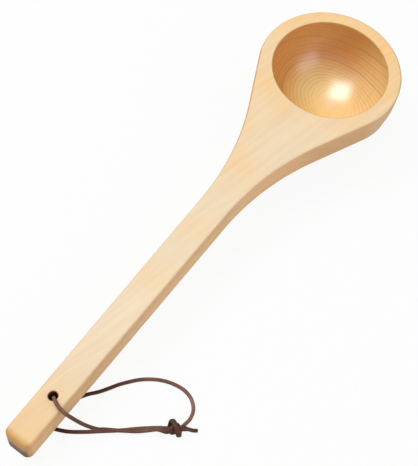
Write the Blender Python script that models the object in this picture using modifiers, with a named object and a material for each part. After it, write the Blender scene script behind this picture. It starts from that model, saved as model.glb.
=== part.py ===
"""Sauna ladle: a bowl and its handle carved from one piece of wood, with a leather lace.

The ladle is modelled flat, with the centre of the bowl's opening at the origin, the top
face at z = 0 and the handle along -X. It is then tilted into the pose in which it lies
on a table, on the bowl's round bottom and the end of the handle. The table is at z = 0.
"""

import math

import bmesh
import bpy
from mathutils import Vector

# Bowl
OPENING_RADIUS = 0.0428
RIM_WALL = 0.0104
BOWL_HEIGHT = 0.0510
LIP_HEIGHT = 0.0120
CAVITY_DEPTH = 0.0420
CAVITY_STRAIGHT = 0.0020
RIM_ROUND = 0.0010

# Board that makes the handle and its flare
BOARD_THICKNESS = 0.0230
HANDLE_REACH = 0.3490
HANDLE_END_WIDTH = 0.0186
HANDLE_TAPER = math.radians(0.42)
FLARE_ANGLE = math.radians(24.9)
NECK_RADIUS = 0.2040
END_CORNER_RADIUS = 0.0045
EDGE_ROUND = 0.0016
END_EDGE_ROUND = 0.0030

# Blend of the bowl into the underside of the handle
ROOT_RADIUS = 0.0200
ROOT_OFFSET = 0.0240

# Hanging hole
HOLE_RADIUS = 0.0030
HOLE_FROM_END = 0.0352
HOLE_CHAMFER = 0.0005

# Lace, with its knot's turns one layer apart
LACE_DIAMETER = 0.0022
LACE_CLEARANCE = 0.00055
TABLE_CLEARANCE = 0.00005

# Facets
TURNED_STEPS = 64
HOLE_STEPS = 32
OVERRUN = 0.0040
MERGE = 0.00001

# Sizes that follow from those above
HEAD_RADIUS = OPENING_RADIUS + RIM_WALL
BELLY_RADIUS = BOWL_HEIGHT - LIP_HEIGHT
FOOT_RADIUS = HEAD_RADIUS - BELLY_RADIUS
LACE_RADIUS = LACE_DIAMETER / 2
LACE_LAYER = LACE_DIAMETER + LACE_CLEARANCE
LACE_HEIGHT = LACE_RADIUS + TABLE_CLEARANCE
CORE_HEIGHT = LACE_HEIGHT + LACE_LAYER

# The lace's route, in millimetres on the table, from its long end through the knot,
# round the loop, under the handle, up the hole and back over the handle to the knot.
KNOT_CENTRE = Vector((-128.9, -67.4, 1000 * CORE_HEIGHT))
KNOT_ALONG = Vector((0.660, -0.751, 0.0)).normalized()
KNOT_NEAR = Vector((-0.751, -0.660, 0.0)).normalized()
FLAT = 1000 * LACE_HEIGHT
CORE = 1000 * CORE_HEIGHT

LONG_END = (
    (-173.9, -9.9, FLAT),
    (-170.9, -15.8, FLAT),
    (-164.6, -24.2, FLAT),
    (-158.1, -31.7, FLAT),
    (-150.3, -40.7, FLAT),
    (-142.4, -48.9, FLAT),
    (-138.4, -53.5, 1.3),
    (-135.1, -58.4, 3.1),
)
LOOP = (
    (-122.4, -70.6, 2.9),
    (-116.7, -70.9, 1.4),
    (-110.4, -68.8, FLAT),
    (-105.4, -63.2, FLAT),
    (-103.6, -56.7, FLAT),
    (-104.2, -49.9, FLAT),
    (-106.2, -43.3, FLAT),
    (-109.6, -37.1, FLAT),
    (-115.4, -30.1, FLAT),
    (-120.4, -25.9, FLAT),
    (-126.4, -21.6, FLAT),
    (-132.9, -17.9, FLAT),
    (-138.7, -14.4, FLAT),
    (-144.5, -9.9, FLAT),
    (-150.8, -6.4, FLAT),
)
THROUGH_HOLE = (
    (-157.0, -3.4, FLAT),
    (-160.0, -2.0, FLAT),
    (-162.7, -0.7, 1.95),
    (-164.7, 0.3, 4.1),
    (-165.5, 0.6, 7.2),
    (-165.6, 0.2, 14.0),
    (-166.0, -0.4, 20.5),
    (-166.4, -0.9, 24.6),
    (-167.2, -1.8, 27.0),
    (-168.5, -3.6, 28.6),
    (-169.8, -6.2, 29.0),
    (-170.4, -9.4, 28.0),
)
OVER_HANDLE = (
    (-169.9, -13.2, 25.0),
    (-168.2, -17.2, 20.5),
    (-164.8, -23.8, 13.5),
    (-160.1, -30.8, 7.6),
    (-156.9, -33.5, 5.0),
    (-151.7, -40.8, 4.1),
    (-149.0, -44.4, 3.7),
    (-145.1, -49.2, 2.7),
    (-140.8, -54.1, 3.0),
    (-136.8, -59.5, 5.6),
)

# The knot is tied round the lace's own core. Its turn swings from one end of the knot to
# the other and back, and rides a layer higher where it crosses its start and its end.
# Angles are in degrees round the core: 0 faces the near side and 90 is on top.
KNOT_HALF_LENGTH = 2.8
KNOT_SWING = 300
KNOT_FIRST_END = 290
KNOT_ANGLES = range(65, 760, 15)
RIDE_MIDDLE = 437
RIDE_HALF = 52
RIDE_RAMP = 75
KNOT_ENTRY = ((-5.9, 2.2, 1.8), (-3.5, 2.0, 2.1))
KNOT_EXIT = ((1.5, 1.75, 2.2), (3.0, 1.45, 2.55), (5.6, 1.3, 2.4))
SHORT_END = (
    (8.4, 1.4, 1.0),
    (11.4, 1.5, -1.2),
    (14.2, 1.2, FLAT - CORE),
)
FREE_STEP = 3 * LACE_DIAMETER
BEND_STEP = LACE_DIAMETER
KNOT_STEP = 0.5 * LACE_DIAMETER


def clear_scene():
    for old in list(bpy.data.objects):
        bpy.data.objects.remove(old, do_unlink=True)


def new_collection(name):
    collection = bpy.data.collections.new(name)
    bpy.context.scene.collection.children.link(collection)
    return collection


def principled(name, colour, roughness, metallic=0.0):
    material = bpy.data.materials.new(name)
    material.use_nodes = True
    shader = material.node_tree.nodes["Principled BSDF"]
    shader.inputs["Base Color"].default_value = (*colour, 1.0)
    shader.inputs["Roughness"].default_value = roughness
    shader.inputs["Metallic"].default_value = metallic
    return material


def shade(mesh):
    mesh.shade_smooth()
    mesh.set_sharp_from_angle(angle=math.radians(35))


def arc(centre, radius, start, end, segments):
    """Points on a circle, from one angle to another, both ends included."""
    step = (end - start) / segments
    return [
        (
            centre[0] + radius * math.cos(start + i * step),
            centre[1] + radius * math.sin(start + i * step),
        )
        for i in range(segments + 1)
    ]


def turned(name, profile, steps, collection):
    """A closed solid turned about its own Z axis, from a profile that starts and ends there."""
    mesh = bpy.data.meshes.new(name)
    edges = [(i, i + 1) for i in range(len(profile) - 1)]
    mesh.from_pydata([(r, 0.0, z) for r, z in profile], edges, [])
    solid = bpy.data.objects.new(name, mesh)
    collection.objects.link(solid)
    screw = solid.modifiers.new("Turn", "SCREW")
    screw.steps = steps
    screw.render_steps = steps
    screw.use_merge_vertices = True
    screw.merge_threshold = MERGE
    screw.use_smooth_shade = True
    return solid


def hide_cutter(cutter):
    cutter.hide_render = True
    cutter.display_type = "WIRE"


def bowl_profile():
    lip = arc(
        (HEAD_RADIUS - EDGE_ROUND, -EDGE_ROUND), EDGE_ROUND, math.pi / 2, 0.0, 3
    )
    belly = arc((FOOT_RADIUS, -LIP_HEIGHT), BELLY_RADIUS, 0.0, -math.pi / 2, 14)
    return [(0.0, 0.0), *lip, *belly, (0.0, -BOWL_HEIGHT)]


def cavity_profile():
    """Rounded rim, a short straight wall and half an ellipse down to the bottom."""
    wide = OPENING_RADIUS + RIM_ROUND
    rim = arc((wide, -RIM_ROUND), RIM_ROUND, math.pi / 2, math.pi, 3)
    steps = 12
    drop = CAVITY_DEPTH - CAVITY_STRAIGHT
    hollow = [
        (
            OPENING_RADIUS * math.cos(i * math.pi / 2 / steps),
            -CAVITY_STRAIGHT - drop * math.sin(i * math.pi / 2 / steps),
        )
        for i in range(steps)
    ]
    return [(0.0, OVERRUN), (wide, OVERRUN), *rim, *hollow, (0.0, -CAVITY_DEPTH)]


def root_profile():
    """A concave foot between the underside of the board and the belly of the bowl."""
    centre_z = -BOARD_THICKNESS - ROOT_RADIUS
    span = BELLY_RADIUS + ROOT_RADIUS
    centre_r = FOOT_RADIUS + math.sqrt(span**2 - (centre_z + LIP_HEIGHT) ** 2)
    to_belly = math.atan2(-LIP_HEIGHT - centre_z, FOOT_RADIUS - centre_r)
    blend = arc(
        (centre_r - ROOT_OFFSET, centre_z), ROOT_RADIUS, math.pi / 2, to_belly, 8
    )
    top = -BOARD_THICKNESS / 2
    return [(0.0, top), (blend[0][0], top), *blend, (0.0, blend[-1][1])]


def hole_profile():
    wide = HOLE_RADIUS + HOLE_CHAMFER + OVERRUN
    bottom = -BOARD_THICKNESS
    return [
        (0.0, OVERRUN),
        (wide, OVERRUN),
        (HOLE_RADIUS, -HOLE_CHAMFER),
        (HOLE_RADIUS, bottom + HOLE_CHAMFER),
        (wide, bottom - OVERRUN),
        (0.0, bottom - OVERRUN),
    ]


def half_outline():
    """One side of the board, from the middle of the handle's end to inside the bowl's wall.

    The edge leaves the end's rounded corner, widens slightly, turns through the long arc
    of the neck into the straight flare, meets the head's circle where it is tangent, and
    then curls in faster than the head does, so that its end is hidden in the wall.
    """
    end_x = -HANDLE_REACH
    half_end = HANDLE_END_WIDTH / 2
    corner = arc(
        (end_x + END_CORNER_RADIUS, half_end - END_CORNER_RADIUS),
        END_CORNER_RADIUS,
        math.pi,
        math.pi / 2,
        4,
    )

    taper = math.tan(HANDLE_TAPER)
    flare = math.tan(FLARE_ANGLE)
    flare_height = HEAD_RADIUS / math.cos(FLARE_ANGLE)
    bend_x = (half_end - taper * end_x - flare_height) / (flare - taper)
    bend_y = flare_height + flare * bend_x
    reach = NECK_RADIUS * math.tan((FLARE_ANGLE - HANDLE_TAPER) / 2)
    neck_centre = (
        bend_x - reach * math.cos(HANDLE_TAPER) - NECK_RADIUS * math.sin(HANDLE_TAPER),
        bend_y - reach * math.sin(HANDLE_TAPER) + NECK_RADIUS * math.cos(HANDLE_TAPER),
    )
    neck = arc(
        neck_centre,
        NECK_RADIUS,
        HANDLE_TAPER - math.pi / 2,
        FLARE_ANGLE - math.pi / 2,
        12,
    )

    nose_radius = OPENING_RADIUS + RIM_ROUND
    lean = FLARE_ANGLE + math.pi / 2
    inward = HEAD_RADIUS - nose_radius
    nose_centre = (inward * math.cos(lean), inward * math.sin(lean))
    nose_end = -math.asin(nose_centre[1] / nose_radius)
    nose = arc(nose_centre, nose_radius, lean, nose_end, 20)
    return [*corner, *neck, *nose]


def make_board(collection):
    """The outline extruded to the board's thickness, with its edges rounded.

    The top edge at the handle's end has the widest round. Round the end's corners it
    narrows with the edge's direction to that of the long edges, so no face folds over.
    """
    half = half_outline()
    outline = half + [(x, -y) for x, y in reversed(half[:-1])]
    curve = bpy.data.curves.new("board_outline", "CURVE")
    curve.dimensions = "2D"
    curve.fill_mode = "BOTH"
    curve.extrude = BOARD_THICKNESS / 2
    spline = curve.splines.new("POLY")
    spline.points.add(len(outline) - 1)
    for point, (x, y) in zip(spline.points, outline):
        point.co = (x, y, 0.0, 1.0)
    spline.use_cyclic_u = True
    sketch = bpy.data.objects.new("board_sketch", curve)
    sketch.location.z = -BOARD_THICKNESS / 2
    collection.objects.link(sketch)
    bpy.context.view_layer.update()

    evaluated = sketch.evaluated_get(bpy.context.evaluated_depsgraph_get())
    mesh = bpy.data.meshes.new_from_object(evaluated)
    mesh.transform(sketch.matrix_world)
    bpy.data.objects.remove(sketch, do_unlink=True)

    shape = bmesh.new()
    shape.from_mesh(mesh)
    bmesh.ops.remove_doubles(shape, verts=shape.verts, dist=MERGE)
    for cap_z in (0.0, -BOARD_THICKNESS):
        cap = [f for f in shape.faces if all(abs(v.co.z - cap_z) < MERGE for v in f.verts)]
        bmesh.ops.dissolve_faces(shape, faces=cap)
    weight = shape.edges.layers.float.new("bevel_weight_edge")
    end_limit = -HANDLE_REACH + END_CORNER_RADIUS
    for edge in shape.edges:
        if edge.calc_face_angle(0.0) < math.radians(60):
            continue
        start, end = (v.co for v in edge.verts)
        if abs(start.z - end.z) > MERGE:
            continue
        width = EDGE_ROUND
        if max(start.x, end.x) < end_limit + MERGE and start.z > -BOARD_THICKNESS / 2:
            facing_end = abs((end - start).normalized().y)
            width += (END_EDGE_ROUND - EDGE_ROUND) * facing_end
        edge[weight] = width / END_EDGE_ROUND
    shape.to_mesh(mesh)
    shape.free()

    board = bpy.data.objects.new("ladle", mesh)
    collection.objects.link(board)
    bevel = board.modifiers.new("Rounded edges", "BEVEL")
    bevel.limit_method = "WEIGHT"
    bevel.width = END_EDGE_ROUND
    bevel.segments = 3
    bevel.use_clamp_overlap = False
    shade(mesh)
    return board


def join(target, tool, operation):
    boolean = target.modifiers.new(tool.name, "BOOLEAN")
    boolean.operation = operation
    boolean.solver = "EXACT"
    boolean.object = tool


def make_ladle(parts, cutters, pose):
    """Board, turned bowl and root in one solid, less the bowl's cavity and the hole."""
    ladle = make_board(parts)
    bowl = turned("bowl_turning", bowl_profile(), TURNED_STEPS, cutters)
    root = turned("root_turning", root_profile(), TURNED_STEPS, cutters)
    cavity = turned("cavity_cutter", cavity_profile(), TURNED_STEPS, cutters)
    hole = turned("hole_cutter", hole_profile(), HOLE_STEPS, cutters)
    root.location.x = -ROOT_OFFSET
    hole.location.x = HOLE_FROM_END - HANDLE_REACH
    join(ladle, bowl, "UNION")
    join(ladle, root, "UNION")
    join(ladle, cavity, "DIFFERENCE")
    join(ladle, hole, "DIFFERENCE")
    for tool in (bowl, root, cavity, hole):
        hide_cutter(tool)
        tool.parent = pose
    ladle.parent = pose
    ladle.data.materials.append(principled("oiled_wood", (0.83, 0.61, 0.36), 0.42))
    return ladle


def make_rest_pose(collection):
    """An empty that tilts the ladle onto its belly and the lower edge of the handle's end.

    In the upright plane along the handle, the table is the straight line that touches
    both the belly's arc and the small round of that edge. The origin is midway along the
    ladle, on the table.
    """
    edge_x = -HANDLE_REACH + EDGE_ROUND
    edge_z = -BOARD_THICKNESS + EDGE_ROUND
    run = -FOOT_RADIUS - edge_x
    rise = edge_z + LIP_HEIGHT
    tilt = math.atan2(rise, run) + math.asin(
        (BELLY_RADIUS - EDGE_ROUND) / math.hypot(run, rise)
    )
    cos_tilt = math.cos(tilt)
    sin_tilt = math.sin(tilt)
    height = BELLY_RADIUS + FOOT_RADIUS * sin_tilt + LIP_HEIGHT * cos_tilt
    front = FOOT_RADIUS * cos_tilt + LIP_HEIGHT * sin_tilt + BELLY_RADIUS
    back = (
        (END_EDGE_ROUND - HANDLE_REACH) * cos_tilt
        + END_EDGE_ROUND * sin_tilt
        - END_EDGE_ROUND
    )
    pose = bpy.data.objects.new("rest_pose", None)
    pose.location = (-(front + back) / 2, 0.0, height)
    pose.rotation_euler = (0.0, -tilt, 0.0)
    collection.objects.link(pose)
    return pose


def knot_point(along, near, up):
    return KNOT_CENTRE + KNOT_ALONG * along + KNOT_NEAR * near + Vector((0, 0, up))


def knot_turns():
    """Points of the turn that ties the knot, each some way along the core and out from it."""
    points = []
    for angle in KNOT_ANGLES:
        along = KNOT_HALF_LENGTH * math.cos(
            math.pi * (angle - KNOT_FIRST_END) / KNOT_SWING
        )
        past_ride = max(0, abs(angle - RIDE_MIDDLE) - RIDE_HALF)
        ramp = math.pi * min(past_ride, RIDE_RAMP) / RIDE_RAMP
        out = 1000 * LACE_LAYER * (1.5 + 0.5 * math.cos(ramp))
        turn = math.radians(angle)
        points.append(knot_point(along, out * math.cos(turn), out * math.sin(turn)))
    return points


def lace_route():
    """The route's points in metres, each with the step to the next one."""
    core = [knot_point(-4.2, 0.0, 0.0), knot_point(0.0, 0.0, 0.0), knot_point(4.0, -0.1, 0)]
    stretches = (
        (LONG_END, FREE_STEP),
        (core, FREE_STEP),
        (LOOP, FREE_STEP),
        (THROUGH_HOLE, BEND_STEP),
        (OVER_HANDLE, FREE_STEP),
        ([knot_point(*place) for place in KNOT_ENTRY], BEND_STEP),
        (knot_turns(), KNOT_STEP),
        ([knot_point(*place) for place in KNOT_EXIT], BEND_STEP),
        ([knot_point(*place) for place in SHORT_END], FREE_STEP),
    )
    return [
        (Vector(point) / 1000, step) for points, step in stretches for point in points
    ]


def smooth_path(route):
    """Points along a centripetal Catmull-Rom curve through the route."""
    points = [point for point, _ in route]
    points = [2 * points[0] - points[1], *points, 2 * points[-1] - points[-2]]
    path = [points[1]]
    for i, (_, step) in enumerate(route[:-1]):
        p0, p1, p2, p3 = points[i : i + 4]
        t1 = (p1 - p0).length ** 0.5
        t2 = t1 + (p2 - p1).length ** 0.5
        t3 = t2 + (p3 - p2).length ** 0.5
        pieces = max(1, round((p2 - p1).length / step))
        for piece in range(1, pieces + 1):
            t = t1 + (t2 - t1) * piece / pieces
            a1 = p0.lerp(p1, t / t1)
            a2 = p1.lerp(p2, (t - t1) / (t2 - t1))
            a3 = p2.lerp(p3, (t - t2) / (t3 - t2))
            b1 = a1.lerp(a2, t / t2)
            b2 = a2.lerp(a3, (t - t1) / (t3 - t1))
            path.append(b1.lerp(b2, (t - t1) / (t2 - t1)))
    return path


def least_gap(path):
    """The least gap between stretches of the lace that aren't neighbours along it."""
    fine = []
    for a, b in zip(path, path[1:]):
        fine.extend(a.lerp(b, i / 8) for i in range(8))
    travelled = [0.0]
    for a, b in zip(fine, fine[1:]):
        travelled.append(travelled[-1] + (b - a).length)
    least = 1.0
    for i, a in enumerate(fine):
        for j in range(i + 1, len(fine)):
            if travelled[j] - travelled[i] > math.pi * LACE_DIAMETER:
                least = min(least, (fine[j] - a).length)
    return least - LACE_DIAMETER


def make_lace(collection):
    """The whole lace as one tube, from its long end to its short one."""
    path = smooth_path(lace_route())
    curve = bpy.data.curves.new("lace", "CURVE")
    curve.dimensions = "3D"
    curve.bevel_depth = LACE_RADIUS
    curve.bevel_resolution = 2
    curve.use_fill_caps = True
    spline = curve.splines.new("POLY")
    spline.points.add(len(path) - 1)
    for point, place in zip(spline.points, path):
        point.co = (*place, 1.0)
    spline.use_smooth = True
    lace = bpy.data.objects.new("lace", curve)
    collection.objects.link(lace)
    curve.materials.append(principled("brown_leather", (0.20, 0.085, 0.06), 0.65))
    length = sum((b - a).length for a, b in zip(path, path[1:]))
    print(f"lace: {len(path)} points, {1000 * length:.1f} mm long")
    print(f"lace: least gap to itself {1000 * least_gap(path):.2f} mm")
    return lace


def main():
    clear_scene()
    parts = new_collection("sauna_ladle")
    cutters = new_collection("cutters")
    pose = make_rest_pose(parts)
    make_ladle(parts, cutters, pose)
    make_lace(parts)


main()
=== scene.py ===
"""Sauna ladle: a carved wooden ladle with a knotted leather lace, dressed for a studio picture."""

import math

import bpy
from bpy.props import FloatProperty, FloatVectorProperty, PointerProperty
from mathutils import Matrix, Vector


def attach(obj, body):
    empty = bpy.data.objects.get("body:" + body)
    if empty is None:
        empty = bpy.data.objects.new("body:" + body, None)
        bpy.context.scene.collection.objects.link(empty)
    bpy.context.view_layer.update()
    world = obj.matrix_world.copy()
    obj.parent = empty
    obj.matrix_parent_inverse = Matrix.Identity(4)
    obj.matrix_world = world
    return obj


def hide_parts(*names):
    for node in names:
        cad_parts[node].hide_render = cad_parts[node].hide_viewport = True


bl_info = {
    "name": "Sauna ladle",
    "version": (1, 0, 0),
    "blender": (4, 5, 0),
    "location": "View3D > Sidebar > Sauna ladle",
    "description": "Builds a carved sauna ladle, its leather lace and a studio stage",
    "category": "Object",
}

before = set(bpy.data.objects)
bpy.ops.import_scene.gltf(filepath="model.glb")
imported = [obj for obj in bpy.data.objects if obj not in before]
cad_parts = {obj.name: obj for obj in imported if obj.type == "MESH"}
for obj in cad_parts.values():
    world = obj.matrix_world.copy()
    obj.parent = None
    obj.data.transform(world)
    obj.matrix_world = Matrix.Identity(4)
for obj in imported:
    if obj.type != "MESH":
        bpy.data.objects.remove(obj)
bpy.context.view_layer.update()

# The ladle is carved level, with its top face at height 0 and the bowl's middle over the
# origin. It then lies tilted on the table, on its bowl and the end of its handle.
REST_PLACE = Vector((0.1466808, 0.0, 0.0521522))
REST_TILT = math.radians(4.8262074)
REST_POSE = Matrix.Translation(REST_PLACE) @ Matrix.Rotation(-REST_TILT, 4, "Y")

# Facets round the turned surfaces and the hanging hole, and along the curves of the profiles
TURNED_STEPS = 160
HOLE_STEPS = 48
CORNER_STEPS = 8
EDGE_STEPS = 6
NECK_STEPS = 36
NOSE_STEPS = 48
BELLY_STEPS = 36
CAVITY_STEPS = 40
ROOT_STEPS = 20
# Faces that meet at less than these angles are shaded as one surface.
WOOD_SMOOTH = math.radians(30)
LEATHER_SMOOTH = math.radians(50)
QUARTER_TURN = math.pi / 2
# How far a cutting tool runs past the wood, and the distance under which points are one
OVERRUN = 0.004
MERGE = 0.000002

# Fixed forms of the ladle: the handle's taper and flare, the corners of its end, the neck
# between handle and bowl, how far the board's nose stays outside the hollow, the carved root
# under the neck, the rim, the hollow's upright top, and the hanging hole's place and mouths
TAPER = math.radians(0.42)
FLARE = math.radians(24.9)
CORNER_RADIUS = 0.0045
NECK_RADIUS = 0.204
NOSE_WALL = 0.001
ROOT_RADIUS = 0.020
ROOT_OFFSET = 0.024
RIM_ROUND = 0.001
CAVITY_STRAIGHT = 0.002
HOLE_X = -0.3138
HOLE_CHAMFER = 0.0005

# Figure of the wood, in millimetres from the bowl's middle. The hollow's rings are ovals
# round a heart, counted along two axes, and two of them are darker.
RING_HEART = (4.1, -8.4, -41.0)
RING_AXES = ((0.348, 0.024, 0.311), (-0.091, 0.300, 0.078))
DARK_RINGS = (13.9, 21.4)
# The handle's grain is the rings of a distant heart, with a slow bend along the handle.
GRAIN_HEART_ASIDE = 120.0
GRAIN_HEART_BELOW = 60.0
GRAIN_SLOPE = 0.158
GRAIN_BEND = -0.00028
GRAIN_SPACING = 4.6
# Fibres are streaks that are drawn out nearly along the handle.
FIBRE_TURN = math.radians(-12.0)
FIBRE_STRETCH = 26.0
# Where the hollow is painted paler as lit by the lamp, the ladle's own upward direction, and how
# its end faces
LIT_SIDE_DIRECTION = (0.0085, -0.0195, -0.006)
UPWARDS = (-0.084, 0.0, 0.996)
LENGTHWISE = (0.975, -0.2, 0.08)
# Depth of the relief in wood and leather, in metres
BUMP_DEPTH = 0.0002

# The lace's route, in millimetres on the table, as in the part's source. FLAT is the height
# of a strand that lies on the table, and CORE that of the knot's middle.
FLAT = 1.15
CORE = 3.9
KNOT_CENTRE = Vector((-128.9, -67.4, CORE))
KNOT_ALONG = Vector((0.660, -0.751, 0.0)).normalized()
KNOT_NEAR = Vector((-0.751, -0.660, 0.0)).normalized()
# The strip starts pressed flat under the handle's edge, where the round solid has no room.
UNDER_EDGE = ((-175.4, -6.2, 0.93),)
PRESSED_THICKNESS = 1.7
PRESSED_LENGTH = 2.2
PRESSED_RAMP = 2.5
LONG_END = (
    (-173.9, -9.9, FLAT),
    (-170.9, -15.8, FLAT),
    (-164.6, -24.2, FLAT),
    (-158.1, -31.7, FLAT),
    (-150.3, -40.7, FLAT),
    (-142.4, -48.9, FLAT),
    (-138.4, -53.5, 1.3),
    (-135.1, -58.4, 3.1),
)
LOOP = (
    (-122.4, -70.6, 2.9),
    (-116.7, -70.9, 1.4),
    (-110.4, -68.8, FLAT),
    (-105.4, -63.2, FLAT),
    (-103.6, -56.7, FLAT),
    (-104.2, -49.9, FLAT),
    (-106.2, -43.3, FLAT),
    (-109.6, -37.1, FLAT),
    (-115.4, -30.1, FLAT),
    (-120.4, -25.9, FLAT),
    (-126.4, -21.6, FLAT),
    (-132.9, -17.9, FLAT),
    (-138.7, -14.4, FLAT),
    (-144.5, -9.9, FLAT),
    (-150.8, -6.4, FLAT),
)
THROUGH_HOLE = (
    (-157.0, -3.4, FLAT),
    (-160.0, -2.0, FLAT),
    (-162.7, -0.7, 1.95),
    (-164.7, 0.3, 4.1),
    (-165.5, 0.6, 7.2),
    (-165.6, 0.2, 14.0),
    (-166.0, -0.4, 20.5),
    (-166.4, -0.9, 24.6),
    (-167.2, -1.8, 27.0),
    (-168.5, -3.6, 28.6),
    (-169.8, -6.2, 29.0),
    (-170.4, -9.4, 28.0),
)
OVER_HANDLE = (
    (-169.9, -13.2, 25.0),
    (-168.2, -17.2, 20.5),
    (-164.8, -23.8, 13.5),
    (-160.1, -30.8, 7.6),
    (-156.9, -33.5, 5.0),
    (-151.7, -40.8, 4.1),
    (-149.0, -44.4, 3.7),
    (-145.1, -49.2, 2.7),
    (-140.8, -54.1, 3.0),
    (-136.8, -59.5, 5.6),
)
# Stretches in and near the knot are given from its centre: along it, towards the camera and up.
KNOT_CORE = ((-4.2, 0.0, 0.0), (0.0, 0.0, 0.0), (4.0, -0.1, 0.0))
KNOT_ENTRY = ((-5.9, 2.2, 1.8), (-3.5, 2.0, 2.1))
KNOT_EXIT = ((1.5, 1.75, 2.2), (3.0, 1.45, 2.55), (5.6, 1.3, 2.4))
SHORT_END = ((8.4, 1.4, 1.0), (11.4, 1.5, -1.2), (14.2, 1.2, FLAT - CORE))
# The turn that ties the knot, in degrees round the core: it swings along the core by half
# its length, and rides a layer higher round RIDE_MIDDLE, where it crosses its own start.
KNOT_ANGLES = range(65, 760, 15)
KNOT_HALF_LENGTH = 2.8
KNOT_SWING = 300
KNOT_FIRST_END = 290
KNOT_LAYER = 2.75
RIDE_MIDDLE = 437
RIDE_HALF = 52
RIDE_RAMP = 75

# Spacing of the strip's sections where it runs straight, curves, bends sharply and is tied
STRAIGHT_STEP = 1.5
CURVED_STEP = 1.2
SHARP_STEP = 0.8
TIED_STEP = 0.4
# The strip's section: its points, how square its corners are, and its girth
SECTION_POINTS = 16
SECTION_POWER = 0.8
SECTION_GIRTH = 7.5
# How much the strip's broad side is pulled to face up, or out of the knot, at each point
SIDE_PULL = 0.25
# The leather is painted darker in the knot and over a length at both ends, as shade.
KNOT_SHADE = 0.7
SHADED_END = 13.0
# How much painted light pales the leather at a length along the lace, in millimetres, and at its
# end
LIT_LEATHER_ALONG = (
    (14, 0.0),
    (36, 0.33),
    (72, 0.2),
    (90, 0.52),
    (103, 0.5),
    (112, 0.38),
    (124, 0.25),
    (133, 0.38),
    (146, 0.15),
    (160, 0.0),
    (205, 0.1),
    (236, 0.55),
    (243, 0.18),
    (262, 0.13),
    (290, 0.2),
)
LIT_RAMP_LENGTH = 400
LIT_AT_END = 0.2

# The camera's own axes, and its lens from a focal length and a picture height in pixels
CAMERA_AXES = (
    (0.574489, -0.807206, 0.135580),
    (0.655930, 0.553100, 0.513650),
    (-0.489611, -0.206155, 0.847220),
)
SENSOR_HEIGHT = 24.0
FOCAL_PIXELS = 1000
PICTURE_HEIGHT = 466
# How white the floor shows to the camera by itself, and how strongly the sky lights the scene
FLOOR_GLOW = 0.92
SKY_LIGHT = 0.42
LAMP_DISTANCE = 2.4
# Each lamp's name, direction, size in metres and power in watts
LAMPS = (
    ("key_softbox", (-0.06, 0.478, 0.842), 1.5, 45),
    ("side_softbox", (-0.10, -0.89, 0.44), 2.0, 19),
)


# Settings


def metres(name, description, default):
    return FloatProperty(name=name, description=description, default=default, unit="LENGTH")


def shade(name, description, default):
    return FloatVectorProperty(
        name=name, description=description, default=default, subtype="COLOR", size=3
    )


class LadleSizes(bpy.types.PropertyGroup):
    """Sizes of the carved ladle."""

    opening_radius: metres("Opening radius", "Radius of the bowl's opening", 0.0428)
    rim_wall: metres("Rim wall", "Width of the flat rim round the opening", 0.0104)
    bowl_height: metres("Bowl height", "Height of the bowl from its foot to the top face", 0.051)
    lip_height: metres("Lip height", "Height of the upright band round the bowl", 0.012)
    cavity_depth: metres("Cavity depth", "Depth of the hollow below the top face", 0.042)
    board_thickness: metres("Handle thickness", "Thickness of the handle", 0.023)
    handle_reach: metres("Handle reach", "From the bowl's centre to the handle's end", 0.349)
    end_width: metres("End width", "Width of the handle at its end", 0.0186)
    edge_round: metres("Edge rounding", "Radius of the rounded long edges", 0.0016)
    end_round: metres("End rounding", "Radius of the top edge at the handle's end", 0.003)
    hole_radius: metres("Hole radius", "Radius of the hanging hole", 0.003)


class LaceSizes(bpy.types.PropertyGroup):
    """Section of the leather lace."""

    width: metres("Width", "Width of the strip where it lies free", 0.0025)
    knot_width: metres("Width in the knot", "Width of the strip pressed in the knot", 0.0034)
    thickness: metres("Thickness", "Thickness of the leather", 0.0021)


class Finishes(bpy.types.PropertyGroup):
    """Colours of the wood and the leather."""

    pale_wood: shade("Pale wood", "Wood of the handle's broad face", (0.765, 0.615, 0.42))
    warm_wood: shade("Warm wood", "Oranger wood round the bowl", (0.84, 0.532, 0.225))
    # The handle's sides are partly the wood's own colour and partly painted shade; their lower
    # half is painted paler as light reflected from the table.
    side_wood_and_shade: shade("Side wood", "Upright sides of the handle", (0.82, 0.462, 0.215))
    late_wood: shade("Late wood", "Darker line at the end of each ring", (0.49, 0.205, 0.06))
    table_lit_side_wood: shade("Low side wood", "Lower half of the handle's sides", (0.90, 0.60, 0.325))
    head_side_wood: shade("Head side wood", "Outside of the bowl", (0.70, 0.42, 0.226))
    end_grain: shade("End grain", "Wood cut across its fibres", (0.575, 0.305, 0.09))
    # Painted shade: the inside of the hanging hole is darkened as if unlit.
    painted_hole_shade: shade("Bored wood", "Dark wood inside the hanging hole", (0.19, 0.045, 0.008))
    # The hollow's wall is painted darker than its floor, as shade under the rim.
    hollow_floor: shade("Hollow, floor", "Oiled wood at the bottom", (0.845, 0.595, 0.222))
    shaded_hollow_wall: shade("Hollow, wall", "Oiled wood on the inner wall", (0.68, 0.292, 0.057))
    # Painted light: the hollow's side towards the lamp is paler.
    lit_hollow_side: shade("Hollow, pale side", "Paler wood on one side", (0.88, 0.605, 0.247))
    hollow_heart: shade("Hollow, heart", "Wood inside the first ring", (0.85, 0.56, 0.30))
    leather: shade("Leather", "Grain side of the lace", (0.088, 0.0235, 0.0105))
    # Painted shade for the knot and the lace's ends
    shaded_leather: shade("Burnished leather", "Knot and ends", (0.055, 0.016, 0.008))
    # Painted light: paler leather where the lace catches the lamp
    painted_lit_leather: shade("Worn leather", "Dry and worn places of the lace", (0.34, 0.18, 0.13))


class StageSettings(bpy.types.PropertyGroup):
    """Camera and floor."""

    camera_place: FloatVectorProperty(
        name="Camera",
        description="Where the camera stands",
        subtype="TRANSLATION",
        unit="LENGTH",
        size=3,
        default=(-0.342738, -0.145913, 0.599585),
    )
    floor_size: metres("Floor size", "Side of the square floor", 6.0)
    floor_colour: shade("Floor colour", "Colour of the floor", (0.74, 0.74, 0.74))


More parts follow.
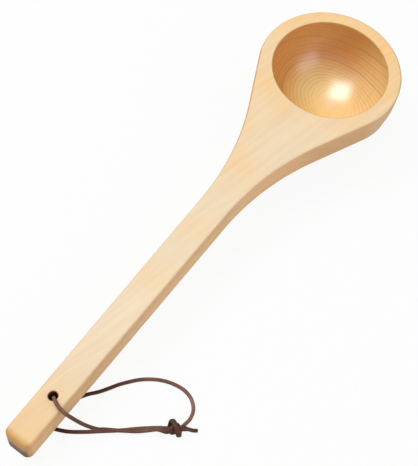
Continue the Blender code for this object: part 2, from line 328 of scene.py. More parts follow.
class SaunaLadleSettings(bpy.types.PropertyGroup):
    """Everything that a user would change."""

    ladle: PointerProperty(type=LadleSizes)
    lace: PointerProperty(type=LaceSizes)
    finishes: PointerProperty(type=Finishes)
    stage: PointerProperty(type=StageSettings)


# Shared helpers


def select_only(piece):
    bpy.ops.object.select_all(action="DESELECT")
    bpy.context.view_layer.objects.active = piece
    piece.select_set(True)


def new_piece(name, points, edges, faces=()):
    mesh = bpy.data.meshes.new(name)
    mesh.from_pydata(points, edges, faces)
    piece = bpy.data.objects.new(name, mesh)
    bpy.context.scene.collection.objects.link(piece)
    select_only(piece)
    return piece


def turn_faces_out():
    """Make every face of the active piece point outwards."""
    bpy.ops.object.mode_set(mode="EDIT")
    bpy.ops.mesh.select_all(action="SELECT")
    bpy.ops.mesh.normals_make_consistent(inside=False)
    bpy.ops.object.mode_set(mode="OBJECT")


def apply_modifier(piece, modifier):
    select_only(piece)
    bpy.ops.object.modifier_apply(modifier=modifier.name)


def settle(piece, pose):
    """Put the place into the mesh, and leave the object at the origin."""
    piece.data.transform(pose @ piece.matrix_world)
    piece.matrix_world = Matrix.Identity(4)


def arc(centre, radius, start, end, segments):
    step = (end - start) / segments
    angles = [start + i * step for i in range(segments + 1)]
    return [(centre[0] + radius * math.cos(a), centre[1] + radius * math.sin(a)) for a in angles]


def turned(name, profile, steps, centre_x):
    """Spin a closed solid from a profile of radius and height that starts and ends at the axis."""
    points = [(centre_x + r, 0.0, z) for r, z in profile]
    edges = [(i, i + 1) for i in range(len(points) - 1)]
    piece = new_piece(name, points, edges)
    bpy.ops.object.mode_set(mode="EDIT")
    bpy.ops.mesh.select_all(action="SELECT")
    bpy.ops.mesh.spin(
        steps=steps,
        angle=2 * math.pi,
        center=(centre_x, 0.0, 0.0),
        axis=(0.0, 0.0, 1.0),
        use_auto_merge=True,
    )
    bpy.ops.mesh.select_all(action="SELECT")
    bpy.ops.mesh.remove_doubles(threshold=MERGE)
    bpy.ops.object.mode_set(mode="OBJECT")
    turn_faces_out()
    return piece


def carve(target, tool, operation):
    boolean = target.modifiers.new(tool.name, "BOOLEAN")
    boolean.operation = operation
    boolean.solver = "EXACT"
    boolean.object = tool
    apply_modifier(target, boolean)
    bpy.data.objects.remove(tool, do_unlink=True)


class Nodes:
    """Short words for building a material's nodes."""

    def __init__(self, name):
        self.material = bpy.data.materials.new(name)
        self.material.use_nodes = True
        self.tree = self.material.node_tree
        self.shader = self.tree.nodes["Principled BSDF"]
        self.output = self.tree.nodes["Material Output"]

    def put(self, socket, value):
        if isinstance(value, bpy.types.NodeSocket):
            self.tree.links.new(value, socket)
        else:
            socket.default_value = value

    def add(self, kind, out=0, settings=None, **inputs):
        """Add a node, its inputs given by name, or by number as i0, i1 and i2."""
        node = self.tree.nodes.new(kind)
        for key, value in (settings or {}).items():
            setattr(node, key, value)
        for key, value in inputs.items():
            index = int(key[1:]) if key[0] == "i" and key[1:].isdigit() else key
            self.put(node.inputs[index], value)
        return node.outputs[out]

    def math(self, operation, a, b=0.0, c=0.0, clamp=False):
        settings = {"operation": operation, "use_clamp": clamp}
        return self.add("ShaderNodeMath", settings=settings, i0=a, i1=b, i2=c)

    def vector(self, operation, a, b=(0.0, 0.0, 0.0), out=0):
        return self.add("ShaderNodeVectorMath", out, {"operation": operation}, i0=a, i1=b)

    def dot(self, a, b):
        return self.vector("DOT_PRODUCT", a, b, out=1)

    def hypotenuse(self, a, b):
        squares = [self.math("MULTIPLY", side, side) for side in (a, b)]
        return self.math("SQRT", self.math("ADD", *squares))

    def from_axis(self, vector):
        """Distance from the upright axis."""
        level = self.vector("MULTIPLY", vector, (1.0, 1.0, 0.0))
        return self.vector("LENGTH", level, out=1)

    def between(self, value, low, high, to_low=0.0, to_high=1.0):
        """A smooth step from one value to another while the input goes from low to high."""
        node = self.tree.nodes.new("ShaderNodeMapRange")
        node.interpolation_type = "SMOOTHSTEP"
        self.put(node.inputs["Value"], value)
        node.inputs["From Min"].default_value = low
        node.inputs["From Max"].default_value = high
        node.inputs["To Min"].default_value = to_low
        node.inputs["To Max"].default_value = to_high
        return node.outputs["Result"]

    def noise(self, vector, scale, detail=2.0, roughness=0.5, dimensions="3D"):
        node = self.tree.nodes.new("ShaderNodeTexNoise")
        node.noise_dimensions = dimensions
        self.put(node.inputs["W" if dimensions == "1D" else "Vector"], vector)
        node.inputs["Scale"].default_value = scale
        node.inputs["Detail"].default_value = detail
        node.inputs["Roughness"].default_value = roughness
        return node.outputs["Fac"]

    def mix(self, factor, a, b, blend="MIX"):
        node = self.tree.nodes.new("ShaderNodeMix")
        node.data_type = "RGBA"
        node.blend_type = blend
        self.put(node.inputs[0], factor)
        self.put(node.inputs[6], (*a, 1.0) if isinstance(a, tuple) else a)
        self.put(node.inputs[7], (*b, 1.0) if isinstance(b, tuple) else b)
        return node.outputs[2]

    def times(self, colour, factor):
        return self.mix(1.0, colour, factor, "MULTIPLY")

    def mapping(self, vector, place=(0, 0, 0), turn=(0, 0, 0), scale=(1, 1, 1), kind="POINT"):
        node = self.tree.nodes.new("ShaderNodeMapping")
        node.vector_type = kind
        self.put(node.inputs["Vector"], vector)
        node.inputs["Location"].default_value = place
        node.inputs["Rotation"].default_value = turn
        node.inputs["Scale"].default_value = scale
        return node.outputs["Vector"]

    def split(self, vector):
        node = self.tree.nodes.new("ShaderNodeSeparateXYZ")
        self.put(node.inputs[0], vector)
        return node.outputs

    def bump(self, height, strength):
        node = self.tree.nodes.new("ShaderNodeBump")
        node.inputs["Strength"].default_value = strength
        node.inputs["Distance"].default_value = BUMP_DEPTH
        self.put(node.inputs["Height"], height)
        self.put(self.shader.inputs["Normal"], node.outputs["Normal"])


# Wood


def late_lines(n, rings, faintest):
    """Each ring darkens slowly to its edge and stops there; some rings are stronger."""
    outwards = n.math("FRACT", rings)
    dark = n.math("POWER", outwards, 2.2)
    dark = n.math("MULTIPLY", dark, n.between(outwards, 0.9, 1.0, 1.0, 0.0))
    one_number = {"noise_dimensions": "1D"}
    chance = n.add("ShaderNodeTexWhiteNoise", settings=one_number, W=n.math("FLOOR", rings))
    return n.math("MULTIPLY", dark, n.between(chance, 0.0, 1.0, faintest, 1.0))


def single_ring(n, rings, where):
    away = n.math("ABSOLUTE", n.math("SUBTRACT", rings, where))
    return n.between(away, 0.06, 0.36, 1.0, 0.0)


def hollow_share(n, sizes, ladle, z):
    """1 in the hollow and 0 elsewhere, told by the hollow's own surface, half an ellipsoid."""
    radius = 1000 * sizes.opening_radius
    straight = 1000 * CAVITY_STRAIGHT
    drop = 1000 * sizes.cavity_depth - straight
    below = n.math("MINIMUM", n.math("ADD", z, straight), 0.0)
    across = n.math("MULTIPLY", n.from_axis(ladle), 1 / radius)
    down = n.math("MULTIPLY", below, 1 / drop)
    shell = n.hypotenuse(across, down)
    inside = n.between(shell, 1.035, 1.06, 1.0, 0.0)
    return n.math("MULTIPLY", inside, n.between(z, -1.0, -0.35, 1.0, 0.0))


def hollow_rings(n, ladle, x):
    """The hollow's rings, ovals round the heart counted outwards, and how dark their lines are."""
    from_heart = n.vector("SUBTRACT", ladle, RING_HEART)
    ring = n.hypotenuse(*[n.dot(from_heart, axis) for axis in RING_AXES])
    wobble = n.noise(ladle, 0.05, 1.0)
    ring = n.math("ADD", ring, n.math("MULTIPLY_ADD", wobble, 1.2, -0.45))
    # The outer rings are wider on the side away from the handle.
    beyond = n.math("MAXIMUM", n.math("SUBTRACT", ring, 12.5), 0.0)
    wider = n.math("MULTIPLY_ADD", beyond, n.between(x, -4.0, 26.0, 0.0, -0.17), ring)
    uneven = n.noise(n.math("MULTIPLY", wider, 0.9), 1.0, 1.0, dimensions="1D")
    uneven_ring = n.math("MULTIPLY_ADD", uneven, 0.22, wider)
    late = late_lines(n, uneven_ring, 0.55)
    late = n.math("MULTIPLY", late, n.between(ring, 1.5, 9.0, 0.2, 1.0))
    dark_ring = n.math("MAXIMUM", *[single_ring(n, ring, where) for where in DARK_RINGS])
    return ring, n.math("MAXIMUM", late, n.math("MULTIPLY", dark_ring, 0.8))


def grain_lines(n, ladle, x, y, z):
    """Grain of the rest: rings of a distant heart, which run out of the handle's side."""
    bend = n.math("MULTIPLY", x, x)
    drift = n.math("MULTIPLY_ADD", bend, GRAIN_BEND, n.math("MULTIPLY", x, GRAIN_SLOPE))
    aside = n.math("ADD", n.math("ADD", y, drift), -GRAIN_HEART_ASIDE)
    above = n.math("ADD", z, GRAIN_HEART_BELOW)
    grain = n.hypotenuse(aside, above)
    sway = n.noise(ladle, 0.016, 2.0, 0.55)
    grain = n.math("MULTIPLY_ADD", sway, 9.0, grain)
    return late_lines(n, n.math("MULTIPLY", grain, 1 / GRAIN_SPACING), 0.1)


def outer_wood(n, finishes, sizes, ladle, facing, up, grain_late):
    """Colour of the top, the sides and the end, and painted shade inside the bored hole."""
    x, _, z = n.split(ladle)
    end = -1000 * sizes.handle_reach
    cloud = n.noise(ladle, 0.022, 2.0)
    near_bowl = n.between(x, -110.0, 70.0, 0.0, 0.7)
    warmth = n.math("ADD", near_bowl, n.between(cloud, 0.4, 0.75, 0.0, 0.5), clamp=True)
    warmth = n.math("MAXIMUM", warmth, n.between(x, end, -270.0, 0.75, 0.0))
    wood = n.mix(warmth, tuple(finishes.pale_wood), tuple(finishes.warm_wood))
    wood = n.times(wood, n.between(x, end, -230.0, 0.93, 1.0))

    # The sides: oranger, partly the wood's own colour and partly painted shade, paler low on the
    # handle as painted light reflected from the table, and duller round the bowl
    upright = n.between(n.math("ABSOLUTE", up), 0.35, 0.85, 1.0, 0.0)
    low = n.between(z, -13.0, -5.0, 0.9, 0.0)
    table_lit_side = n.math("MULTIPLY", low, n.between(x, -170.0, -90.0, 1.0, 0.0))
    side = n.mix(table_lit_side, tuple(finishes.side_wood_and_shade), tuple(finishes.table_lit_side_wood))
    side = n.mix(n.between(x, -90.0, -10.0), side, tuple(finishes.head_side_wood))
    wood = n.mix(n.math("MULTIPLY", upright, 0.85), wood, side)

    # The end grain, with painted shade that darkens it towards the table
    lengthwise = n.math("ABSOLUTE", n.dot(facing, LENGTHWISE))
    at_end = n.between(x, end + 2.0, end + 6.5, 0.9, 0.0)
    end_on = n.math("MAXIMUM", n.between(lengthwise, 0.05, 0.5), at_end)
    wood = n.mix(end_on, wood, tuple(finishes.end_grain))
    square_on = n.between(lengthwise, 0.35, 0.8)
    painted_foot_shade = n.math("MULTIPLY", square_on, n.between(z, -13.0, -3.0, 0.72, 0.0))
    wood = n.times(wood, n.math("SUBTRACT", 1.0, painted_foot_shade))

    line_share = n.math("MULTIPLY", grain_late, n.between(upright, 0.0, 1.0, 0.09, 0.16))
    wood = n.mix(line_share, wood, tuple(finishes.late_wood))
    # Painted shade inside the hanging hole
    from_hole = n.from_axis(n.vector("SUBTRACT", ladle, (1000 * HOLE_X, 0.0, 0.0)))
    radius = 1000 * sizes.hole_radius
    hole_shade_share = n.between(from_hole, radius - 0.05, radius + 0.2, 0.9, 0.0)
    return n.mix(hole_shade_share, wood, tuple(finishes.painted_hole_shade))


def inner_wood(n, finishes, ladle, up, ring, ring_late):
    """Colour of the hollow, from its floor to its wall, which is painted darker as shade."""
    x = n.split(ladle)[0]
    # Painted shade: the steeper the wall, the darker its colour
    wall = n.between(up, 0.6, 0.99, 1.0, 0.0)
    wood = n.mix(wall, tuple(finishes.hollow_floor), tuple(finishes.shaded_hollow_wall))
    # Painted light: the hollow is paler on the side towards the lamp, and its rings fainter there
    lit_side = n.between(n.dot(ladle, LIT_SIDE_DIRECTION), 0.35, 1.0)
    wood = n.mix(lit_side, wood, tuple(finishes.lit_hollow_side))
    wood = n.mix(n.between(ring, 0.8, 3.6, 0.75, 0.0), wood, tuple(finishes.hollow_heart))
    # Painted shade: the hollow darkens from the handle's side to its far side.
    wood = n.times(wood, n.between(x, -15.0, 38.0, 1.08, 0.92))
    on_wall = n.between(wall, 0.0, 1.0, 0.5, 1.0)
    ring_share = n.math("MULTIPLY", on_wall, n.between(lit_side, 0.0, 1.0, 1.0, 0.6))
    return n.mix(n.math("MULTIPLY", ring_late, ring_share), wood, tuple(finishes.late_wood))


def wood_material(finishes, sizes):
    """Oiled softwood: growth rings round the heart of the bowl, grain along the handle."""
    n = Nodes("oiled_wood")
    place = n.tree.nodes.new("ShaderNodeTexCoord").outputs["Object"]
    facing = n.tree.nodes.new("ShaderNodeTexCoord").outputs["Normal"]
    # The place on the level ladle, in millimetres from the bowl's middle
    millimetre = (0.001, 0.001, 0.001)
    ladle = n.mapping(place, REST_PLACE, (0.0, -REST_TILT, 0.0), millimetre, "TEXTURE")
    x, y, z = n.split(ladle)
    up = n.dot(facing, UPWARDS)
    hollow = hollow_share(n, sizes, ladle, z)
    ring, ring_late = hollow_rings(n, ladle, x)
    grain_late = grain_lines(n, ladle, x, y, z)

    # Fibres: fine streaks drawn out along the handle
    turn = (0.0, 0.0, FIBRE_TURN)
    stretch = (FIBRE_STRETCH, 1.0, 1.0)
    fibre_place = n.mapping(ladle, (0.0, 0.0, 0.0), turn, stretch, "TEXTURE")
    fibre = n.noise(fibre_place, 1.6, 3.0, 0.6)
    streak = n.noise(fibre_place, 0.28, 2.0, 0.5)

    outside = outer_wood(n, finishes, sizes, ladle, facing, up, grain_late)
    inside = inner_wood(n, finishes, ladle, up, ring, ring_late)
    wood = n.mix(hollow, outside, inside)
    wood = n.times(wood, n.between(streak, 0.3, 0.7, 0.965, 1.025))
    wood = n.times(wood, n.between(fibre, 0.2, 0.8, 0.965, 1.02))
    n.put(n.shader.inputs["Base Color"], wood)
    n.put(n.shader.inputs["Roughness"], n.between(fibre, 0.2, 0.8, 0.5, 0.6))
    n.shader.inputs["Specular IOR Level"].default_value = 0.35
    n.put(n.shader.inputs["Coat Weight"], n.between(hollow, 0.0, 1.0, 0.08, 1.0))
    n.shader.inputs["Coat Roughness"].default_value = 0.28
    n.shader.inputs["Coat IOR"].default_value = 1.92
    lines = n.math("MAXIMUM", grain_late, ring_late)
    n.bump(n.math("MULTIPLY_ADD", lines, 0.4, fibre), 0.1)
    return n.material


# Ladle


def board_outline(sizes):
    """One side of the board, from the middle of its end to inside the bowl's wall."""
    head = sizes.opening_radius + sizes.rim_wall
    end_x = -sizes.handle_reach
    half_end = sizes.end_width / 2
    corner_centre = (end_x + CORNER_RADIUS, half_end - CORNER_RADIUS)
    corner = arc(corner_centre, CORNER_RADIUS, math.pi, QUARTER_TURN, CORNER_STEPS)

    # Taper and flare are two lines that meet at the bend; the neck rounds it off.
    taper = math.tan(TAPER)
    flare = math.tan(FLARE)
    flare_height = head / math.cos(FLARE)
    bend_x = (half_end - taper * end_x - flare_height) / (flare - taper)
    bend_y = flare_height + flare * bend_x
    reach = NECK_RADIUS * math.tan((FLARE - TAPER) / 2)
    neck_centre = (
        bend_x - reach * math.cos(TAPER) - NECK_RADIUS * math.sin(TAPER),
        bend_y - reach * math.sin(TAPER) + NECK_RADIUS * math.cos(TAPER),
    )
    neck_start = TAPER - QUARTER_TURN
    neck_end = FLARE - QUARTER_TURN
    neck = arc(neck_centre, NECK_RADIUS, neck_start, neck_end, NECK_STEPS)

    # The flare ends on the bowl's outside, and the board's nose stays within its wall.
    nose_radius = sizes.opening_radius + NOSE_WALL
    lean = FLARE + QUARTER_TURN
    inward = head - nose_radius
    nose_centre = (inward * math.cos(lean), inward * math.sin(lean))
    nose_end = -math.asin(nose_centre[1] / nose_radius)
    nose = arc(nose_centre, nose_radius, lean, nose_end, NOSE_STEPS)
    return [*corner, *neck, *nose]


def weigh_edges(board, sizes):
    """Bevel weights: the top edge of the handle's end is rounded more than the long edges."""
    weights = board.data.attributes.new("bevel_weight_edge", "FLOAT", "EDGE")
    end_limit = CORNER_RADIUS - sizes.handle_reach + MERGE
    for edge in board.data.edges:
        a, b = (board.data.vertices[i].co for i in edge.vertices)
        if abs(a.z - b.z) > MERGE:
            continue
        width = sizes.edge_round
        if max(a.x, b.x) < end_limit and a.z > -MERGE:
            width += (sizes.end_round - sizes.edge_round) * abs((b - a).normalized().y)
        weights.data[edge.index].value = width / sizes.end_round


def make_board(sizes):
    """Outline drawn flat, extruded down to the board's thickness, its edges bevelled."""
    half = board_outline(sizes)
    outline = half + [(x, -y) for x, y in reversed(half[:-1])]
    bpy.ops.object.select_all(action="DESELECT")
    bpy.ops.mesh.primitive_circle_add(
        vertices=len(outline), radius=sizes.end_width, fill_type="NGON"
    )
    board = bpy.context.active_object
    board.name = "ladle_carving"
    board.data.name = "ladle_carving"
    for vertex, (x, y) in zip(board.data.vertices, outline):
        vertex.co = (x, y, 0.0)
    bpy.ops.object.mode_set(mode="EDIT")
    bpy.ops.mesh.select_all(action="SELECT")
    bpy.ops.mesh.extrude_region_move(
        TRANSFORM_OT_translate={"value": (0.0, 0.0, -sizes.board_thickness)}
    )
    bpy.ops.object.mode_set(mode="OBJECT")
    turn_faces_out()

    weigh_edges(board, sizes)
    bevel = board.modifiers.new("Rounded edges", "BEVEL")
    bevel.limit_method = "WEIGHT"
    bevel.width = sizes.end_round
    bevel.segments = EDGE_STEPS
    bevel.use_clamp_overlap = False
    apply_modifier(board, bevel)
    return board


def bowl_profile(sizes):
    head = sizes.opening_radius + sizes.rim_wall
    belly_radius = sizes.bowl_height - sizes.lip_height
    edge = sizes.edge_round
    lip = arc((head - edge, -edge), edge, QUARTER_TURN, 0.0, EDGE_STEPS)
    belly_centre = (head - belly_radius, -sizes.lip_height)
    belly = arc(belly_centre, belly_radius, 0.0, -QUARTER_TURN, BELLY_STEPS)
    return [(0.0, 0.0), *lip, *belly, (0.0, -sizes.bowl_height)]


def cavity_profile(sizes):
    wide = sizes.opening_radius + RIM_ROUND
    rim = arc((wide, -RIM_ROUND), RIM_ROUND, QUARTER_TURN, math.pi, EDGE_STEPS)
    drop = sizes.cavity_depth - CAVITY_STRAIGHT
    quarter = arc((0.0, 0.0), 1.0, 0.0, QUARTER_TURN, CAVITY_STEPS)[:-1]
    hollow = [(sizes.opening_radius * c, -CAVITY_STRAIGHT - drop * s) for c, s in quarter]
    return [(0.0, OVERRUN), (wide, OVERRUN), *rim, *hollow, (0.0, -sizes.cavity_depth)]


def root_profile(sizes):
    """The carved root: it leaves the handle's underside and runs down onto the bowl's belly."""
    belly_radius = sizes.bowl_height - sizes.lip_height
    foot_radius = sizes.opening_radius + sizes.rim_wall - belly_radius
    centre_z = -sizes.board_thickness - ROOT_RADIUS
    span = belly_radius + ROOT_RADIUS
    centre_r = foot_radius + math.sqrt(span**2 - (centre_z + sizes.lip_height) ** 2)
    to_belly = math.atan2(-sizes.lip_height - centre_z, foot_radius - centre_r)
    centre = (centre_r - ROOT_OFFSET, centre_z)
    blend = arc(centre, ROOT_RADIUS, QUARTER_TURN, to_belly, ROOT_STEPS)
    top = -sizes.board_thickness / 2
    return [(0.0, top), (blend[0][0], top), *blend, (0.0, blend[-1][1])]


def hole_profile(sizes):
    wide = sizes.hole_radius + HOLE_CHAMFER + OVERRUN
    bottom = -sizes.board_thickness
    return [
        (0.0, OVERRUN),
        (wide, OVERRUN),
        (sizes.hole_radius, -HOLE_CHAMFER),
        (sizes.hole_radius, bottom + HOLE_CHAMFER),
        (wide, bottom - OVERRUN),
        (0.0, bottom - OVERRUN),
    ]


class SAUNALADLE_OT_carve_ladle(bpy.types.Operator):
    """Carve the bowl and handle from one board"""

    bl_idname = "sauna_ladle.carve_ladle"
    bl_label = "Carve ladle"

    def execute(self, context):
        settings = context.scene.sauna_ladle
        sizes = settings.ladle
        ladle = make_board(sizes)
        turnings = (
            ("bowl_turning", bowl_profile(sizes), TURNED_STEPS, 0.0, "UNION"),
            ("root_turning", root_profile(sizes), TURNED_STEPS, -ROOT_OFFSET, "UNION"),
            ("cavity", cavity_profile(sizes), TURNED_STEPS, 0.0, "DIFFERENCE"),
            ("hanging_hole", hole_profile(sizes), HOLE_STEPS, HOLE_X, "DIFFERENCE"),
        )
        for name, profile, steps, centre_x, operation in turnings:
            carve(ladle, turned(name, profile, steps, centre_x), operation)

        select_only(ladle)
        bpy.ops.object.shade_smooth_by_angle(angle=WOOD_SMOOTH)
        weighted = ladle.modifiers.new("Even shading", "WEIGHTED_NORMAL")
        weighted.keep_sharp = True
        weighted.weight = 80
        apply_modifier(ladle, weighted)
        settle(ladle, REST_POSE)
        ladle.data.materials.clear()
        ladle.data.materials.append(wood_material(settings.finishes, sizes))
        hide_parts("ladle")
        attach(ladle, "root")
        return {"FINISHED"}


# Lace


def leather_material(finishes):
    """Brown leather with painted light along the lace, and painted shade where it is tied and at
    its ends.
    """
    n = Nodes("brown_leather")
    strip = n.add("ShaderNodeUVMap", settings={"uv_map": "Strip"})
    grain = n.noise(strip, 2.4, 3.0, 0.6)
    patches = n.noise(n.mapping(strip, scale=(0.12, 0.6, 1.0)), 1.0, 2.0)
    along = n.split(strip)[0]
    # Painted light along the lace, broken into patches
    lit_ramp = n.tree.nodes.new("ShaderNodeValToRGB")
    n.put(lit_ramp.inputs[0], n.math("MULTIPLY", along, 1 / LIT_RAMP_LENGTH))
    ramp = lit_ramp.color_ramp.elements
    ramp[0].color = (0.0, 0.0, 0.0, 1.0)
    ramp[1].color = (LIT_AT_END, LIT_AT_END, LIT_AT_END, 1.0)
    for where, share in LIT_LEATHER_ALONG:
        ramp.new(where / LIT_RAMP_LENGTH).color = (share, share, share, 1.0)
    patchy = n.between(patches, 0.3, 0.7, 0.6, 1.3)
    lit_share = n.math("MULTIPLY", lit_ramp.outputs[0], patchy, clamp=True)
    leather = n.mix(lit_share, tuple(finishes.leather), tuple(finishes.painted_lit_leather))
    # Painted shade in the knot and at the ends
    painted_shade = n.tree.nodes.new("ShaderNodeAttribute")
    painted_shade.attribute_name = "painted_shade"
    leather = n.mix(painted_shade.outputs["Fac"], leather, tuple(finishes.shaded_leather))
    leather = n.times(leather, n.between(grain, 0.25, 0.75, 0.75, 1.15))
    n.put(n.shader.inputs["Base Color"], leather)
    n.put(n.shader.inputs["Roughness"], n.between(grain, 0.2, 0.8, 0.42, 0.6))
    n.shader.inputs["Specular IOR Level"].default_value = 0.32
    n.bump(grain, 0.35)
    return n.material


def knot_point(along, near, up):
    return KNOT_CENTRE + KNOT_ALONG * along + KNOT_NEAR * near + Vector((0, 0, up))


def knot_turns():
    """The turn that ties the knot: it swings along the core and rides over its own start."""
    points = []
    for angle in KNOT_ANGLES:
        along = KNOT_HALF_LENGTH * math.cos(math.pi * (angle - KNOT_FIRST_END) / KNOT_SWING)
        past_ride = max(0, abs(angle - RIDE_MIDDLE) - RIDE_HALF)
        ramp = math.pi * min(past_ride, RIDE_RAMP) / RIDE_RAMP
        out = KNOT_LAYER * (1.5 + 0.5 * math.cos(ramp))
        turn = math.radians(angle)
        points.append(knot_point(along, out * math.cos(turn), out * math.sin(turn)))
    return points


def lace_route():
    """The route's points, each with the step to the next and whether it is knotted."""
    core, entry, leaving, short_end = (
        [knot_point(*place) for place in places]
        for places in (KNOT_CORE, KNOT_ENTRY, KNOT_EXIT, SHORT_END)
    )
    stretches = (
        (UNDER_EDGE, CURVED_STEP, 0.0),
        (LONG_END, STRAIGHT_STEP, 0.0),
        (core, STRAIGHT_STEP, 1.0),
        (LOOP, STRAIGHT_STEP, 0.0),
        (THROUGH_HOLE, SHARP_STEP, 0.0),
        (OVER_HANDLE, CURVED_STEP, 0.0),
        (entry, SHARP_STEP, 1.0),
        (knot_turns(), TIED_STEP, 1.0),
        (leaving, SHARP_STEP, 1.0),
        (short_end, CURVED_STEP, 0.0),
    )
    return [(Vector(p), step, tied) for points, step, tied in stretches for p in points]


def smooth_path(route):
    """Points along a centripetal Catmull-Rom curve through the route, each with its knot share."""
    points = [point for point, _, _ in route]
    points = [2 * points[0] - points[1], *points, 2 * points[-1] - points[-2]]
    path = [(points[1], route[0][2])]
    for i, (_, step, tied) in enumerate(route[:-1]):
        p0, p1, p2, p3 = points[i : i + 4]
        next_tied = route[i + 1][2]
        t1 = (p1 - p0).length ** 0.5
        t2 = t1 + (p2 - p1).length ** 0.5
        t3 = t2 + (p3 - p2).length ** 0.5
        pieces = max(1, round((p2 - p1).length / step))
        for piece in range(1, pieces + 1):
            share = piece / pieces
            t = t1 + (t2 - t1) * share
            a1 = p0.lerp(p1, t / t1)
            a2 = p1.lerp(p2, (t - t1) / (t2 - t1))
            a3 = p2.lerp(p3, (t - t2) / (t3 - t2))
            b1 = a1.lerp(a2, t / t2)
            b2 = a2.lerp(a3, (t - t1) / (t3 - t1))
            path.append((b1.lerp(b2, (t - t1) / (t2 - t1)), tied + (next_tied - tied) * share))
    return path


def square_to(vector, tangent):
    return vector - tangent * vector.dot(tangent)


def strip_sides(points, tied):
    """The direction of the strip's broad face at each point, smoothed along the lace."""
    last = len(points) - 1
    tangents = [
        (points[min(i + 1, last)] - points[max(i - 1, 0)]).normalized() for i in range(last + 1)
    ]
    up = Vector((0.0, 0.0, 1.0))
    side = up
    sides = []
    for point, tangent, share in zip(points, tangents, tied):
        carried = square_to(side, tangent).normalized()
        out_of_knot = square_to(point - KNOT_CENTRE, KNOT_ALONG)
        in_knot = share > 0.5 and out_of_knot.length > 1.5
        wish = square_to(out_of_knot.normalized() if in_knot else up, tangent)
        pull = SIDE_PULL * wish.length**2
        if wish.length > 0.05:
            wish.normalize()
            if wish.dot(carried) < 0 and share < 0.5:
                wish = -wish
            side = (carried * (1 - pull) + wish * pull).normalized()
        else:
            side = carried
        side = square_to(side, tangent).normalized()
        sides.append(side)
    return tangents, sides


def strip_section(point, across, side, width, thickness):
    """Points round the strip at one place, a rectangle with well rounded corners."""
    section = []
    for j in range(SECTION_POINTS):
        turn = 2 * math.pi * (j + 0.5) / SECTION_POINTS
        ca = math.copysign(abs(math.cos(turn)) ** SECTION_POWER, math.cos(turn))
        sa = math.copysign(abs(math.sin(turn)) ** SECTION_POWER, math.sin(turn))
        section.append(point + across * (ca * width / 2) + side * (sa * thickness / 2))
    return section


def strip_faces(lengths):
    """Faces between the sections and at both ends, and each corner's place on the leather."""
    faces = []
    uvs = []
    around = [SECTION_GIRTH * j / SECTION_POINTS for j in range(SECTION_POINTS + 1)]
    for i in range(len(lengths) - 1):
        here = i * SECTION_POINTS
        there = here + SECTION_POINTS
        for j in range(SECTION_POINTS):
            k = (j + 1) % SECTION_POINTS
            faces.append((here + j, here + k, there + k, there + j))
            v0, v1 = around[j : j + 2]
            start, end = lengths[i : i + 2]
            uvs.extend(((start, v0), (start, v1), (end, v1), (end, v0)))
    first = list(reversed(range(SECTION_POINTS)))
    last_start = (len(lengths) - 1) * SECTION_POINTS
    last = list(range(last_start, last_start + SECTION_POINTS))
    for cap, length_there in ((first, 0.0), (last, lengths[-1])):
        faces.append(cap)
        uvs.extend((length_there + 0.1 * j, 0.0) for j in range(SECTION_POINTS))
    return faces, uvs


def make_lace_mesh(sizes):
    """The strip as a mesh, with its middle line and its length."""
    path = smooth_path(lace_route())
    points = [point for point, _ in path]
    tied = [share for _, share in path]
    lengths = [0.0]
    for a, b in zip(points, points[1:]):
        lengths.append(lengths[-1] + (b - a).length)
    vertices = []
    full = 1000 * sizes.thickness
    tangents, sides = strip_sides(points, tied)
    for point, tangent, side, share, travelled in zip(points, tangents, sides, tied, lengths):
        width = 1000 * (sizes.width + (sizes.knot_width - sizes.width) * share)
        free = min(max((travelled - PRESSED_LENGTH) / PRESSED_RAMP, 0.0), 1.0)
        thickness = PRESSED_THICKNESS + (full - PRESSED_THICKNESS) * free
        section = strip_section(point, tangent.cross(side), side, width, thickness)
        vertices.extend(corner / 1000 for corner in section)

    faces, uvs = strip_faces(lengths)
    lace = new_piece("lace_strip", vertices, [], faces)
    layer = lace.data.uv_layers.new(name="Strip")
    for loop, uv in zip(layer.data, uvs):
        loop.uv = uv
    # Painted shade: darker in the knot and near both ends
    painted_shade = lace.data.attributes.new("painted_shade", "FLOAT", "POINT")
    for i, (share, travelled) in enumerate(zip(tied, lengths)):
        from_end = min(travelled, lengths[-1] - travelled)
        shade_share = max(KNOT_SHADE * share, 1.0 - from_end / SHADED_END)
        for j in range(SECTION_POINTS):
            painted_shade.data[i * SECTION_POINTS + j].value = shade_share
    turn_faces_out()
    bpy.ops.object.shade_smooth_by_angle(angle=LEATHER_SMOOTH)
    return lace, [point / 1000 for point in points], lengths[-1] / 1000


class SAUNALADLE_OT_lay_lace(bpy.types.Operator):
    """Lay the leather lace through the hole and tie its knot"""

    bl_idname = "sauna_ladle.lay_lace"
    bl_label = "Lay lace"

    def execute(self, context):
        settings = context.scene.sauna_ladle
        lace, path, length = make_lace_mesh(settings.lace)
        lace.data.materials.append(leather_material(settings.finishes))
        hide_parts("lace")
        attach(lace, "root")
        return {"FINISHED"}


# Stage


def soft_light(name, towards, size, power):
    """A square lamp that shines on the ladle from the direction given."""
    direction = Vector(towards).normalized()
    data = bpy.data.lights.new(name, "AREA")
    data.shape = "SQUARE"
    data.size = size
    data.energy = power
    lamp = bpy.data.objects.new(name, data)
    lamp.location = direction * LAMP_DISTANCE
    lamp.rotation_euler = direction.to_track_quat("Z", "Y").to_euler()
    bpy.context.scene.collection.objects.link(lamp)


def place_camera(scene, place):
    view = bpy.data.cameras.new("studio_camera")
    view.sensor_fit = "VERTICAL"
    view.sensor_height = SENSOR_HEIGHT
    view.lens = SENSOR_HEIGHT * FOCAL_PIXELS / PICTURE_HEIGHT
    view.clip_start = 0.01
    view.clip_end = 50.0
    camera = bpy.data.objects.new("studio_camera", view)
    turn = Matrix(CAMERA_AXES).transposed().to_4x4()
    camera.matrix_world = Matrix.Translation(place) @ turn
    scene.collection.objects.link(camera)
    scene.camera = camera


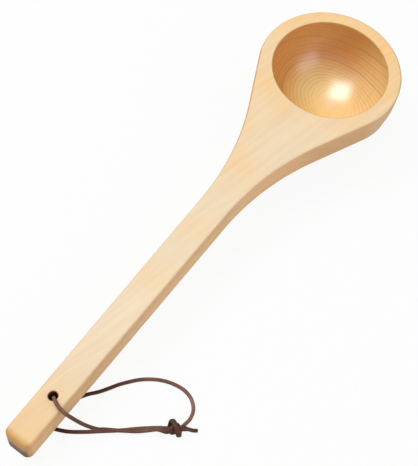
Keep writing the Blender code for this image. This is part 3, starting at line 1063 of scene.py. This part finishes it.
def floor_material(colour):
    """A matte floor that takes shadows and shows nearly white to the camera."""
    n = Nodes("pale_floor")
    n.put(n.shader.inputs["Base Color"], (*colour, 1.0))
    n.shader.inputs["Roughness"].default_value = 0.9
    n.shader.inputs["Specular IOR Level"].default_value = 0.0
    light_path = n.tree.nodes.new("ShaderNodeLightPath")
    seen = light_path.outputs["Is Camera Ray"]
    white = n.tree.nodes.new("ShaderNodeEmission")
    mixed = n.tree.nodes.new("ShaderNodeMixShader")
    n.put(mixed.inputs[0], n.math("MULTIPLY", seen, FLOOR_GLOW))
    n.put(mixed.inputs[1], n.shader.outputs[0])
    n.put(mixed.inputs[2], white.outputs[0])
    n.put(n.output.inputs["Surface"], mixed.outputs[0])
    return n.material


def make_sky(scene):
    """A sky that is white to the camera and dimmer as a light."""
    world = bpy.data.worlds.new("studio")
    scene.world = world
    world.use_nodes = True
    sky = world.node_tree.nodes["Background"]
    sky.inputs["Color"].default_value = (1.0, 1.0, 1.0, 1.0)
    strength = world.node_tree.nodes.new("ShaderNodeMapRange")
    strength.inputs["To Min"].default_value = SKY_LIGHT
    light_path = world.node_tree.nodes.new("ShaderNodeLightPath")
    links = world.node_tree.links
    links.new(light_path.outputs["Is Camera Ray"], strength.inputs["Value"])
    links.new(strength.outputs["Result"], sky.inputs["Strength"])


class SAUNALADLE_OT_set_stage(bpy.types.Operator):
    """Set the camera, the floor and the studio light"""

    bl_idname = "sauna_ladle.set_stage"
    bl_label = "Set stage"

    def execute(self, context):
        settings = context.scene.sauna_ladle.stage
        scene = context.scene
        scene.view_settings.view_transform = "Standard"
        place_camera(scene, settings.camera_place)

        bpy.ops.object.select_all(action="DESELECT")
        bpy.ops.mesh.primitive_plane_add(size=settings.floor_size)
        floor = context.active_object
        floor.name = "floor"
        floor.data.materials.append(floor_material(settings.floor_colour))

        make_sky(scene)
        for lamp in LAMPS:
            soft_light(*lamp)
        return {"FINISHED"}


class SAUNALADLE_PT_panel(bpy.types.Panel):
    """Sizes, colours and the steps that build the ladle"""

    bl_idname = "SAUNALADLE_PT_panel"
    bl_label = "Sauna ladle"
    bl_space_type = "VIEW_3D"
    bl_region_type = "UI"
    bl_category = "Sauna ladle"

    def draw(self, context):
        settings = context.scene.sauna_ladle
        for title, group in (
            ("Ladle", settings.ladle),
            ("Lace", settings.lace),
            ("Finishes", settings.finishes),
            ("Stage", settings.stage),
        ):
            box = self.layout.box()
            box.label(text=title)
            for name in group.bl_rna.properties.keys():
                if name not in {"rna_type", "name"}:
                    box.prop(group, name)
        for operator in OPERATORS:
            self.layout.operator(operator.bl_idname)


OPERATORS = (SAUNALADLE_OT_set_stage, SAUNALADLE_OT_lay_lace, SAUNALADLE_OT_carve_ladle)
CLASSES = (
    LadleSizes,
    LaceSizes,
    Finishes,
    StageSettings,
    SaunaLadleSettings,
    *OPERATORS,
    SAUNALADLE_PT_panel,
)


def register():
    for entry in CLASSES:
        bpy.utils.register_class(entry)
    bpy.types.Scene.sauna_ladle = PointerProperty(type=SaunaLadleSettings)


def unregister():
    del bpy.types.Scene.sauna_ladle
    for entry in reversed(CLASSES):
        bpy.utils.unregister_class(entry)


def main():
    register()
    bpy.ops.sauna_ladle.set_stage()
    bpy.ops.sauna_ladle.lay_lace()
    bpy.ops.sauna_ladle.carve_ladle()


if __name__ == "__main__":
    main()
